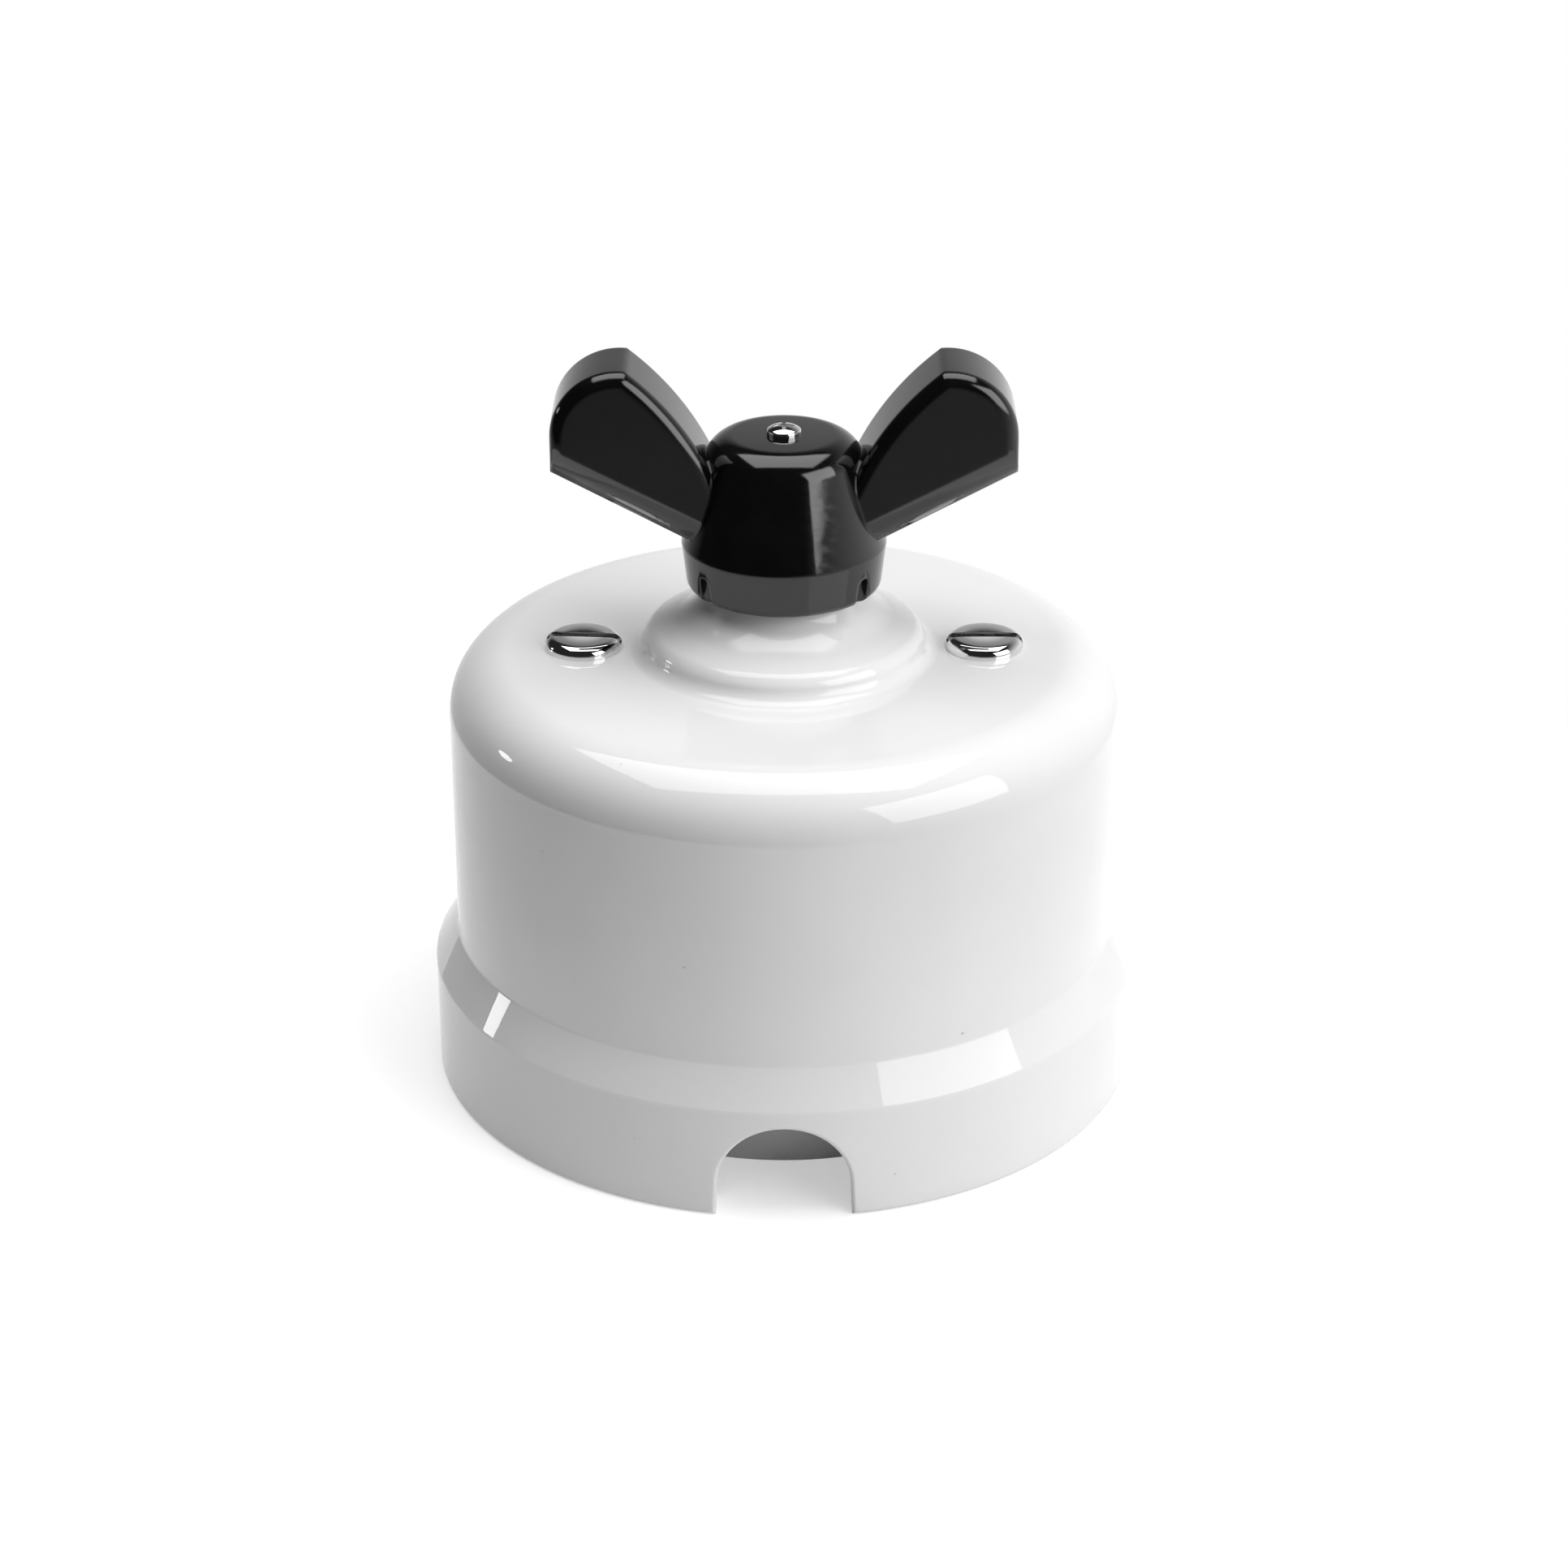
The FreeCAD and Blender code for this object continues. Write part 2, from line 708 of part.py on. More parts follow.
def clamp_screw(angle):
    """The screw that presses on the wire in a terminal."""
    tip = strip_top + wire_hole_height + wire_hole_radius - clamp_screw_bite
    head_top = block_top + clamp_screw_head_height
    head = rod(clamp_screw_head_radius, block_top, head_top, terminal_radius)
    screw = head.fuse(rod(clamp_screw_radius, tip, block_top, terminal_radius)).removeSplitter()
    length = clamp_screw_head_radius * 2 + cut_over
    screw = slotted(screw, small_slot_width, length, small_slot_depth, head_top, terminal_radius)
    return about_z(screw, angle)


def terminal_fixing_screw(angle):
    """The screw that holds a terminal and its contact to the base, from below."""
    head_bottom = counterbore_depth - fixing_head_height
    head = rod(fixing_head_radius, head_bottom, counterbore_depth, terminal_radius)
    tip = strip_top + fixing_screw_grip
    shank = rod(fixing_screw_radius, counterbore_depth, tip, terminal_radius)
    slot_top = head_bottom + small_slot_depth
    slot = block(fixing_head_radius * 2 + cut_over, small_slot_width, 0, slot_top, terminal_radius)
    return about_z(head.fuse(shank).removeSplitter().cut(slot), angle)


def on_circle(centre_x, centre_z, radius, angle):
    """A point of a circle in the XZ plane, at an angle from +X towards +Z."""
    return point(centre_x + radius * math.cos(angle), centre_z + radius * math.sin(angle))


def arc_middle(start, end, radius):
    """The middle of the arc from an upper to a lower point that bulges up and towards the axis."""
    chord = end - start
    half = chord.Length / 2
    middle = (start + end) * 0.5
    bulge = radius - math.sqrt(radius**2 - half**2)
    return middle + FreeCAD.Vector(chord.z, 0, -chord.x).normalize() * bulge


def wing_outline():
    """The outline of the right wing in the XZ plane, down to its root inside the hub."""
    slope = math.tan(math.radians(wing_slope_deg))
    edge_x = wing_span / 2
    root_x = knob_edge_radius - wing_root_depth
    root_z = knob_bottom + wing_foot_height + root_x * slope
    corner_z = knob_bottom + wing_foot_height + edge_x * slope
    shoulder_x = edge_x - wing_shoulder_radius
    shoulder_z = knob_bottom + wing_shoulder_height
    tip_angle = math.radians(wing_tip_angle_deg)
    tip = on_circle(shoulder_x, shoulder_z, wing_shoulder_radius, tip_angle)
    shoulder_middle = on_circle(shoulder_x, shoulder_z, wing_shoulder_radius, tip_angle / 2)
    edge_top = point(edge_x, shoulder_z)
    inner_root = point(root_x, knob_bottom + wing_root_height)
    inner_middle = arc_middle(tip, inner_root, wing_inner_radius)
    edges = [
        Part.LineSegment(point(root_x, root_z), point(edge_x, corner_z)).toShape(),
        Part.LineSegment(point(edge_x, corner_z), edge_top).toShape(),
        Part.Arc(edge_top, shoulder_middle, tip).toShape(),
        Part.Arc(tip, inner_middle, inner_root).toShape(),
        Part.LineSegment(inner_root, point(root_x, root_z)).toShape(),
    ]
    return Part.Face(Part.Wire(edges))


def edges_where(shape, wanted):
    """The edges of a shape whose middle point passes a test."""
    found = []
    for edge in shape.Edges:
        middle = edge.valueAt((edge.FirstParameter + edge.LastParameter) / 2)
        if wanted(middle):
            found.append(edge)
    return found


def wing_wedge():
    """The room left for a wing by the two chamfers along its lower edge."""
    slope = math.radians(wing_slope_deg)
    along = FreeCAD.Vector(math.cos(slope), 0, math.sin(slope))
    across = FreeCAD.Vector(-math.sin(slope), 0, math.cos(slope))
    start = point(0, knob_bottom + wing_foot_height)
    half = wing_thickness / 2
    narrow = half - wing_under_chamfer
    corners = []
    for y, rise in (
        (-narrow, 0),
        (narrow, 0),
        (half, wing_under_chamfer),
        (half, wing_span),
        (-half, wing_span),
        (-half, wing_under_chamfer),
        (-narrow, 0),
    ):
        corners.append(start + across * rise + FreeCAD.Vector(0, y, 0))
    return Part.Face(Part.makePolygon(corners)).extrude(along * wing_span)


def right_wing():
    """One wing, with rounded upper edges and a chamfered lower edge."""
    face = wing_outline()
    face.translate(FreeCAD.Vector(0, -wing_thickness / 2, 0))
    shape = face.extrude(FreeCAD.Vector(0, wing_thickness, 0))
    slope = math.tan(math.radians(wing_slope_deg))
    root_x = knob_edge_radius - wing_root_depth
    edge_x = wing_span / 2
    corner_z = knob_bottom + wing_foot_height + edge_x * slope

    def upper(middle):
        on_face = abs(abs(middle.y) - wing_thickness / 2) < 1e-3
        at_root = abs(middle.x - root_x) < 1e-3
        below = abs(middle.z - knob_bottom - wing_foot_height - middle.x * slope) < 1e-3
        return on_face and not at_root and not below

    def outer_corner(middle):
        level = abs(middle.y) < wing_thickness / 4
        return level and abs(middle.x - edge_x) < 0.01 and abs(middle.z - corner_z) < 0.01

    shape = shape.makeFillet(wing_edge_round, edges_where(shape, upper))
    shape = shape.makeFillet(wing_corner_round, edges_where(shape, outer_corner))
    return shape.common(wing_wedge())


def knob_slot(angle):
    """A ball-ended groove in the knob's lower band, open below."""
    centre = knob_bottom + slot_height - slot_radius
    radius_there = knob_foot_radius + slot_radius / 4
    ball = Part.makeSphere(slot_radius, FreeCAD.Vector(0, -radius_there, centre))
    groove = rod(slot_radius, knob_bottom - cut_over, centre, 0, -radius_there)
    return about_z(groove.fuse(ball), angle)


def wing_knob():
    """The winged knob, hollow below, with a square socket for the spindle."""
    hub = turned([
        (0, knob_bottom, 0),
        (knob_foot_radius, knob_bottom, knob_foot_round),
        (knob_edge_radius, knob_bottom + knob_edge_height, 0),
        (knob_top_radius, knob_top, knob_top_round),
        (0, knob_top, 0),
    ])
    wing = right_wing()
    shape = hub.fuse([wing, about_z(wing, 180)])
    shape = shape.removeSplitter()
    recess = rod(knob_recess_radius, knob_bottom - cut_over, knob_seat)
    socket_width = knob_square + 2 * running_clearance
    socket_corner = journal_radius + running_clearance
    socket = flatted(socket_width, socket_corner, knob_seat - cut_over, socket_top)
    screw_way = rod(knob_screw_radius + hole_clearance / 2, socket_top - cut_over, knob_top + cut_over)
    shape = shape.cut(recess).cut(socket).cut(screw_way)
    for angle in (-slot_angle_deg, slot_angle_deg, 180 - slot_angle_deg, 180 + slot_angle_deg):
        shape = shape.cut(knob_slot(angle))
    return shape


def knob_screw():
    """The small domed screw that holds the knob on the spindle."""
    side_top = knob_top + knob_screw_side
    dome_top = side_top + knob_screw_dome
    radius = knob_screw_head_radius
    ball_radius = (radius**2 + knob_screw_dome**2) / (2 * knob_screw_dome)
    ball = Part.makeSphere(ball_radius, FreeCAD.Vector(0, 0, dome_top - ball_radius))
    head = rod(radius, knob_top, dome_top + cut_over).common(ball)
    tip = knob_top - knob_screw_length
    screw = head.fuse(rod(knob_screw_radius, tip, knob_top)).removeSplitter()
    length = radius * 2 + cut_over
    screw = slotted(screw, knob_screw_slot_width, length, knob_screw_slot_depth, dome_top, 0, 90)
    return screw


def main():
    os.makedirs("parts", exist_ok=True)
    save("porcelain_cover", porcelain_cover())
    save("porcelain_base", porcelain_base())
    save("cover_screw_left", cover_screw(-1, left_screw_turn_deg))
    save("cover_screw_right", cover_screw(1, right_screw_turn_deg))
    for side, hand in ((-1, "left"), (1, "right")):
        save("pillar_lower_" + hand, pillar_lower(side))
        save("pillar_upper_" + hand, pillar_upper(side))
        save("pillar_screw_" + hand, pillar_screw(side))
    save("bridge_plate", bridge())
    save("lower_bush", lower_bush())
    save("upper_bush", upper_bush())
    for number, (x, y) in enumerate(leaf_pin_places(), 1):
        save("spring_pin_" + str(number), leaf_pin(x, y))
    save("detent_spring_front", detent_spring(-1))
    save("detent_spring_rear", detent_spring(1))
    save("spindle", spindle())
    save("thrust_washer", thrust_washer())
    save("retaining_ring", retaining_ring())
    save("contact_drum", contact_drum())
    save("index_cam", index_cam())
    for angle, place in ((0, "rear"), (180, "front")):
        save("contact_segment_" + place, contact_segment(angle))
        save("segment_screw_" + place, segment_screw(angle))
    for number, angle in enumerate(terminal_angles(), 1):
        save("contact_finger_" + str(number), contact_finger(angle))
        save("terminal_block_" + str(number), terminal_block(angle))
        save("clamp_screw_" + str(number), clamp_screw(angle))
        save("terminal_fixing_screw_" + str(number), terminal_fixing_screw(angle))
    save("wing_knob", wing_knob())
    save("knob_screw", knob_screw())


main()
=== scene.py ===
import bmesh
import bpy
import json
import math
from mathutils import Matrix, Vector


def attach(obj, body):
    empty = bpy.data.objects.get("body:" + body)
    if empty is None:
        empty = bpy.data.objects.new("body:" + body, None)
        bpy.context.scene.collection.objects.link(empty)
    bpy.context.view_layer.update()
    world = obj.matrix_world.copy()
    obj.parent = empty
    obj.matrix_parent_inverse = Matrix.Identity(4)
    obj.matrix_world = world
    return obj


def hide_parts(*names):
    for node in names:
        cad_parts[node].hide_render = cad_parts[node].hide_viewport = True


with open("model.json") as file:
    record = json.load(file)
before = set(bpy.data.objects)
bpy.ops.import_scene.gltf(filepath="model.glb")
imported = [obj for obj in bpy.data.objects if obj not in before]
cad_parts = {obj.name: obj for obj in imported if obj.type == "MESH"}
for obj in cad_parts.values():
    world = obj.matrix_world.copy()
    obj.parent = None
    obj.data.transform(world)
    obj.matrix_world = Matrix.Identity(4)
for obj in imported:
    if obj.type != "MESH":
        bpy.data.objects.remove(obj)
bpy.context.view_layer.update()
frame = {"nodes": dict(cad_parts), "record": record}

mm = 0.001

# Porcelain cover: one bell, cast in a mould, dipped in white glaze and fired.
# It has a stepped skirt, a soft shoulder and a raised collar whose flare ends under the knob's hub.
# Two screws through the top hold it down, and the cable comes in through a notch at the foot.


def rounded_section(corners):
    """A closed outline in the XZ plane. Each corner is (radius, height, rounding, steps)."""
    outline = bmesh.new()
    places = [Vector((r * mm, 0, z * mm)) for r, z, rounding, steps in corners]
    verts = [outline.verts.new(p) for p in places]
    outline.faces.new(verts)
    for i, (r, z, rounding, steps) in enumerate(corners):
        if not rounding:
            continue
        back = places[i - 1] - places[i]
        on = places[(i + 1) % len(places)] - places[i]
        offset = rounding * mm / math.tan(back.angle(on) / 2)
        bmesh.ops.bevel(
            outline, geom=[verts[i]], offset=offset, offset_type="OFFSET", affect="VERTICES",
            segments=steps, profile=0.5, clamp_overlap=False, material=-1,
        )
    bmesh.ops.delete(outline, geom=outline.faces[:], context="FACES_ONLY")
    return outline


def turned(outline, steps):
    """Turns an outline once about the Z axis."""
    bmesh.ops.spin(
        outline, geom=outline.verts[:] + outline.edges[:], cent=(0, 0, 0), axis=(0, 0, 1),
        angle=math.tau, steps=steps, use_merge=True, use_duplicate=False,
    )
    return outline


def lathe(corners, steps):
    """A solid turned from its outline, with its seam and its poles closed."""
    shape = turned(rounded_section(corners), steps)
    bmesh.ops.remove_doubles(shape, verts=shape.verts[:], dist=1e-7)
    bmesh.ops.dissolve_degenerate(shape, edges=shape.edges[:], dist=1e-8)
    bmesh.ops.recalc_face_normals(shape, faces=shape.faces[:])
    return shape


def rounded_edges(shape, edges, radius, steps, clamp=False):
    """Rounds edges. One step makes a plain chamfer."""
    bmesh.ops.bevel(
        shape, geom=edges, offset=radius * mm, offset_type="OFFSET", affect="EDGES",
        segments=steps, profile=0.5, clamp_overlap=clamp, material=-1,
    )


def thickened(shape, face, depth):
    """Gives a flat face in the XZ plane its depth along Y."""
    made = bmesh.ops.extrude_face_region(shape, geom=[face], use_keep_orig=True)
    for v in made["geom"]:
        if isinstance(v, bmesh.types.BMVert):
            v.co.y += depth * mm
    bmesh.ops.recalc_face_normals(shape, faces=shape.faces[:])


def ring(shape, x, y, z, radius, steps=48):
    """A circle of edges for a hole's rim."""
    made = bmesh.ops.create_circle(
        shape, cap_ends=False, segments=steps, radius=radius * mm,
        matrix=Matrix.Translation((x * mm, y * mm, z * mm)),
    )
    return list({e for v in made["verts"] for e in v.link_edges})


def stepped_hole(shape, x, y, rims):
    """The walls and ledges of a hole. Each rim is (radius, height). Gives the first and the last rim."""
    rings = [ring(shape, x, y, z, radius) for radius, z in rims]
    for first, second in zip(rings, rings[1:]):
        bmesh.ops.bridge_loops(shape, edges=first + second)
    return rings[0], rings[-1]


def flat_with_holes(shape, edges, up):
    """Fills the flat between an outer rim and the rims inside it."""
    bmesh.ops.triangle_fill(shape, use_beauty=True, edges=edges, normal=(0, 0, up))


def flat_rims(shape, height, low, high):
    """Takes out the flat at one height between two radii, and gives the edges that it leaves open."""
    flat = []
    for face in shape.faces:
        middle = face.calc_center_median()
        distance = math.hypot(middle.x, middle.y) / mm
        if abs(middle.z / mm - height) < 0.01 and abs(face.normal.z) > 0.99 and low < distance < high:
            flat.append(face)
    bmesh.ops.delete(shape, geom=flat, context="FACES_ONLY")
    bmesh.ops.delete(shape, geom=[e for e in shape.edges if not e.link_faces], context="EDGES")
    return [
        e for e in shape.edges
        if len(e.link_faces) == 1 and all(abs(v.co.z / mm - height) < 0.01 for v in e.verts)
    ]


def to_piece(name, shape, material, body, replaced, crease=30):
    """Makes the finished piece, shaded smooth up to a crease angle in degrees."""
    mesh = bpy.data.meshes.new(name)
    bmesh.ops.recalc_face_normals(shape, faces=shape.faces[:])
    for face in shape.faces:
        face.smooth = True
    shape.to_mesh(mesh)
    shape.free()
    mesh.set_sharp_from_angle(angle=math.radians(crease))
    piece = bpy.data.objects.new(name, mesh)
    bpy.context.scene.collection.objects.link(piece)
    mesh.materials.append(material)
    smooth = piece.modifiers.new("even shading", "WEIGHTED_NORMAL")
    smooth.keep_sharp = True
    smooth.weight = 60
    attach(piece, body)
    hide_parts(*replaced)


def node_material(name):
    """A new material with its shader and a pattern position on the piece's own coordinates."""
    material = bpy.data.materials.new(name)
    material.use_nodes = True
    tree = material.node_tree
    shader = tree.nodes["Principled BSDF"]
    place = tree.nodes.new("ShaderNodeTexCoord").outputs["Object"]
    return material, tree, shader, place


def noise(tree, place, scale, detail, rough=0.5):
    """A noise pattern; scale is in features per metre."""
    made = tree.nodes.new("ShaderNodeTexNoise")
    made.inputs["Scale"].default_value = scale
    made.inputs["Detail"].default_value = detail
    made.inputs["Roughness"].default_value = rough
    tree.links.new(place, made.inputs["Vector"])
    return made.outputs["Fac"]


def ramp(tree, value, low, high):
    """Two colours, or two greys given as numbers, over a value. Each stop is (position, colour)."""
    made = tree.nodes.new("ShaderNodeValToRGB")
    for element, (position, colour) in zip(made.color_ramp.elements, (low, high)):
        element.position = position
        element.color = (*colour, 1) if isinstance(colour, tuple) else (colour, colour, colour, 1)
    tree.links.new(value, made.inputs["Fac"])
    return made.outputs["Color"]


def bump(tree, shader, height, strength, distance, before=None):
    """Turns a pattern into relief on the shader."""
    made = tree.nodes.new("ShaderNodeBump")
    made.inputs["Strength"].default_value = strength
    made.inputs["Distance"].default_value = distance
    tree.links.new(height, made.inputs["Height"])
    if before is not None:
        tree.links.new(before, made.inputs["Normal"])
    tree.links.new(made.outputs["Normal"], shader.inputs["Normal"])
    return made.outputs["Normal"]


glaze, tree, shader, place = node_material("white glaze")
shader.inputs["Roughness"].default_value = 0.6
shader.inputs["Specular IOR Level"].default_value = 0.0
shader.inputs["Coat Weight"].default_value = 1.0
shader.inputs["Coat Roughness"].default_value = 0.008
shader.inputs["Coat IOR"].default_value = 1.5
body_tone = ramp(tree, noise(tree, place, 45, 2), (0.35, 0.86), (0.65, 0.9))
specks = ramp(tree, noise(tree, place, 900, 1), (0.8, 1), (0.86, 0.5))
speckled = tree.nodes.new("ShaderNodeMix")
speckled.data_type = "RGBA"
speckled.blend_type = "MULTIPLY"
speckled.inputs["Factor"].default_value = 1.0
tree.links.new(body_tone, speckled.inputs["A"])
tree.links.new(specks, speckled.inputs["B"])
tree.links.new(speckled.outputs["Result"], shader.inputs["Base Color"])
wave = bump(tree, shader, noise(tree, place, 60, 2, 0.4), 0.08, 0.0006)
tree.links.new(wave, shader.inputs["Coat Normal"])

steps_around = 240
skirt, body_radius, wall = 35.0, 32.72, 3.7
skirt_inside, body_inside = 31.3, 29.02
skirt_top, shoulder_top, top = 11.33, 15.08, 43.4
ledge, inner_step, ceiling = 10.63, 14.38, 39.4
collar_foot, collar_rim, collar_flare, neck = 13.8, 13.5, 8.3, 7.0
rim_height, flare_height, neck_top = 45.65, 47.7, 51.142
collar_hollow, hollow_top, spindle_hole = 10.3, 44.05, 3.5
screw_hole, screw_x = 2.25, 19.5
cover = lathe([
    (skirt_inside, 0, 0, 0), (skirt, 0, 0.5, 4), (skirt, skirt_top, 0.7, 4),
    (body_radius, shoulder_top, 0.7, 4), (body_radius, top, 5.8, 20),
    (collar_foot, top, 1.5, 8), (collar_rim, rim_height, 1.6, 12),
    (collar_flare, flare_height, 6.0, 16), (neck, neck_top, 0.4, 4),
    (spindle_hole, neck_top, 0.4, 4), (spindle_hole, hollow_top, 0, 0),
    (collar_hollow, hollow_top, 0.5, 3), (collar_hollow, ceiling, 0.5, 3),
    (body_inside, ceiling, 3.0, 8), (body_inside, inner_step, 0, 0), (skirt_inside, ledge, 0, 0),
], steps_around)

upper_rims = flat_rims(cover, top, 15, 27)
lower_rims = flat_rims(cover, ceiling, 10.5, 26.5)
for x in (-screw_x, screw_x):
    upper, lower = stepped_hole(cover, x, 0, [(screw_hole, top), (screw_hole, ceiling)])
    upper_rims += upper
    lower_rims += lower
flat_with_holes(cover, upper_rims, 1)
flat_with_holes(cover, lower_rims, -1)

# The notch is cut in a flat strip of wall, and the strip is then wrapped onto the skirt. Up to
# straight_to from its middle the strip keeps the notch's flat sides. A hair is the least length
# that counts where points are compared.
notch_half, notch_spring, notch_draft, notch_rim = 6.25, 3.3, 3.0, 0.5
straight_to = 7.2
strip_steps = 10
step_angle = math.tau / steps_around
reach = skirt * step_angle * strip_steps
hair = 1e-4
strip_top = max(
    v.co.z / mm for v in cover.verts if abs(math.hypot(v.co.x, v.co.y) / mm - skirt) < hair
)
cut_away = []
for face in cover.faces:
    middle = face.calc_center_median()
    distance, height = math.hypot(middle.x, middle.y) / mm, middle.z / mm
    in_front = abs(math.atan2(middle.x, -middle.y)) < step_angle * strip_steps
    in_wall = distance > skirt - wall - 0.05 and height < strip_top - 0.02
    over_ledge = distance < skirt - wall + 0.05 and height > ledge
    if in_front and in_wall and not over_ledge:
        cut_away.append(face)
bmesh.ops.delete(cover, geom=cut_away, context="FACES")

strip = bmesh.new()
arch = [strip.verts.new((notch_half * mm, 0, notch_spring * mm))]
bmesh.ops.spin(
    strip, geom=arch, cent=(0, 0, notch_spring * mm), axis=(0, -1, 0), angle=math.pi, steps=32,
)
bmesh.ops.delete(strip, geom=strip.edges[:], context="EDGES_FACES")
arch = sorted(strip.verts, key=lambda v: v.co.x)
for v in arch:
    v.co.x = skirt * mm * math.asin(v.co.x / mm / skirt)
foot_half = notch_half + notch_spring * math.tan(math.radians(notch_draft))
corners = [
    (foot_half, 0), (reach, 0), (reach, strip_top), (-reach, strip_top), (-reach, 0), (-foot_half, 0),
]
front = strip.faces.new(arch + [strip.verts.new((x * mm, 0, z * mm)) for x, z in corners])
thickened(strip, front, wall)


def at_cover(part):
    """Tells whether an edge or face lies where the strip meets the rest of the cover."""
    at_side = all(abs(abs(v.co.x) / mm - reach) < hair for v in part.verts)
    return at_side or all(abs(v.co.z / mm - strip_top) < hair for v in part.verts)


rims = [e for e in strip.edges if max(v.co.y for v in e.verts) < hair * mm and not at_cover(e)]
rounded_edges(strip, rims, notch_rim, 4)
bmesh.ops.delete(strip, geom=[f for f in strip.faces if at_cover(f)], context="FACES")
for i in range(1 - strip_steps, strip_steps):
    bmesh.ops.bisect_plane(
        strip, geom=strip.verts[:] + strip.edges[:] + strip.faces[:], dist=1e-9,
        plane_co=(skirt * step_angle * i * mm, 0, 0), plane_no=(1, 0, 0),
    )


def wrapped(along, depth):
    """Where a point of the flat strip comes to lie on the round wall."""
    angle, radius = along / skirt, skirt - depth
    fan = min(max((abs(along) - straight_to) / (reach - straight_to), 0), 1)
    x = math.sin(angle) * (skirt * (1 - fan) + radius * fan)
    return x * mm, -math.sqrt(radius * radius - x * x) * mm


for v in strip.verts:
    along, depth = v.co.x / mm, v.co.y / mm
    if depth > wall - hair and v.co.z / mm > strip_top - hair:
        v.co.z = ledge * mm
    v.co.x, v.co.y = wrapped(along, depth)
for v in cover.verts:
    along, distance = math.atan2(v.co.x, -v.co.y) * skirt, math.hypot(v.co.x, v.co.y) / mm
    on_ledge = abs(distance - skirt + wall) < 10 * hair and abs(v.co.z / mm - ledge) < 10 * hair
    if on_ledge and abs(along) < reach + 10 * hair:
        v.co.x, v.co.y = wrapped(along, wall)
strip_mesh = bpy.data.meshes.new("notch wall")
strip.to_mesh(strip_mesh)
strip.free()
cover.from_mesh(strip_mesh)
bpy.data.meshes.remove(strip_mesh)
bmesh.ops.remove_doubles(cover, verts=cover.verts[:], dist=2e-6)
to_piece("cover", cover, glaze, "base", ["porcelain_cover"])

# Porcelain base: a round block, pressed and glazed, that stands on the wall inside the cover.
# Its front shows through the notch. Holes for two wall screws, two pillars and four terminals go
# through it, and a blind hole in the middle holds the spindle's lower bush.
block_radius, block_height, rim_from = 24.7, 9.0, 20.0
wall_screw = [(4.3, block_height), (4.3, 5.5), (2.25, 5.5), (2.25, 0)]
pillar_screw = [(2.25, block_height), (2.25, 3.4), (3.8, 3.4), (3.8, 0)]
terminal_screw = [(1.7, block_height), (1.7, 3.4), (3.0, 3.4), (3.0, 0)]
bush_hole = [(3.5, block_height), (3.5, 4.2)]
terminal_radius = 15.962
holes = [(0, y, wall_screw) for y in (-18.0, 18.0)]
holes += [(x, 0, pillar_screw) for x in (-screw_x, screw_x)]
for degrees in (45, 135, 225, 315):
    angle = math.radians(degrees)
    holes.append((terminal_radius * math.cos(angle), terminal_radius * math.sin(angle), terminal_screw))

rim_outline = rounded_section([
    (rim_from, 0, 0, 0), (block_radius, 0, 0.3, 3),
    (block_radius, block_height, 0.6, 5), (rim_from, block_height, 0, 0),
])
inner_side = [v for v in rim_outline.verts if v.co.x < (rim_from + 0.5) * mm]
bmesh.ops.delete(rim_outline, geom=inner_side, context="VERTS")
base = turned(rim_outline, 192)
top_rims = [e for e in base.edges if all(abs(v.co.z / mm - block_height) < hair for v in e.verts)]
foot_rims = [e for e in base.edges if all(abs(v.co.z / mm) < hair for v in e.verts)]
for x, y, rims in holes:
    upper, lower = stepped_hole(base, x, y, rims)
    top_rims += upper
    foot_rims += lower
upper, floor_rim = stepped_hole(base, 0, 0, bush_hole)
top_rims += upper
bmesh.ops.contextual_create(base, geom=floor_rim)
flat_with_holes(base, top_rims, 1)
flat_with_holes(base, foot_rims, -1)
bmesh.ops.remove_doubles(base, verts=base.verts[:], dist=1e-7)
to_piece("base_block", base, glaze, "base", ["porcelain_base"])

# Cover screws: steel, with raised slotted heads, turned and chromed.
# Each goes through the top of the cover into a brass pillar. The slots point where the last turn
# left them: the left one a little askew, the right one straight across.


def worn(tree, shader, pattern, low, high):
    """A gloss that shifts with a pattern. Each stop is (position, roughness)."""
    tree.links.new(ramp(tree, pattern, low, high), shader.inputs["Roughness"])


chrome, tree, shader, place = node_material("polished chrome")
shader.inputs["Base Color"].default_value = (0.78, 0.78, 0.78, 1)
shader.inputs["Metallic"].default_value = 1.0
worn(tree, shader, noise(tree, place, 400, 3), (0.4, 0.03), (0.7, 0.08))
bump(tree, shader, noise(tree, place, 700, 2), 0.04, 0.0001)


def joined(name, first, others, operation):
    """Joins shapes to the first one or cuts them out of it, one after the other."""
    parts = []
    for shape in [first, *others]:
        mesh = bpy.data.meshes.new(name)
        shape.to_mesh(mesh)
        shape.free()
        parts.append(bpy.data.objects.new(name, mesh))
        bpy.context.scene.collection.objects.link(parts[-1])
    for other in parts[1:]:
        step = parts[0].modifiers.new("step", "BOOLEAN")
        step.operation = operation
        step.solver = "EXACT"
        step.object = other
    bpy.context.view_layer.update()
    solid = parts[0].evaluated_get(bpy.context.evaluated_depsgraph_get()).to_mesh()
    result = bmesh.new()
    result.from_mesh(solid)
    for part in parts:
        mesh = part.data
        bpy.data.objects.remove(part)
        bpy.data.meshes.remove(mesh)
    return result


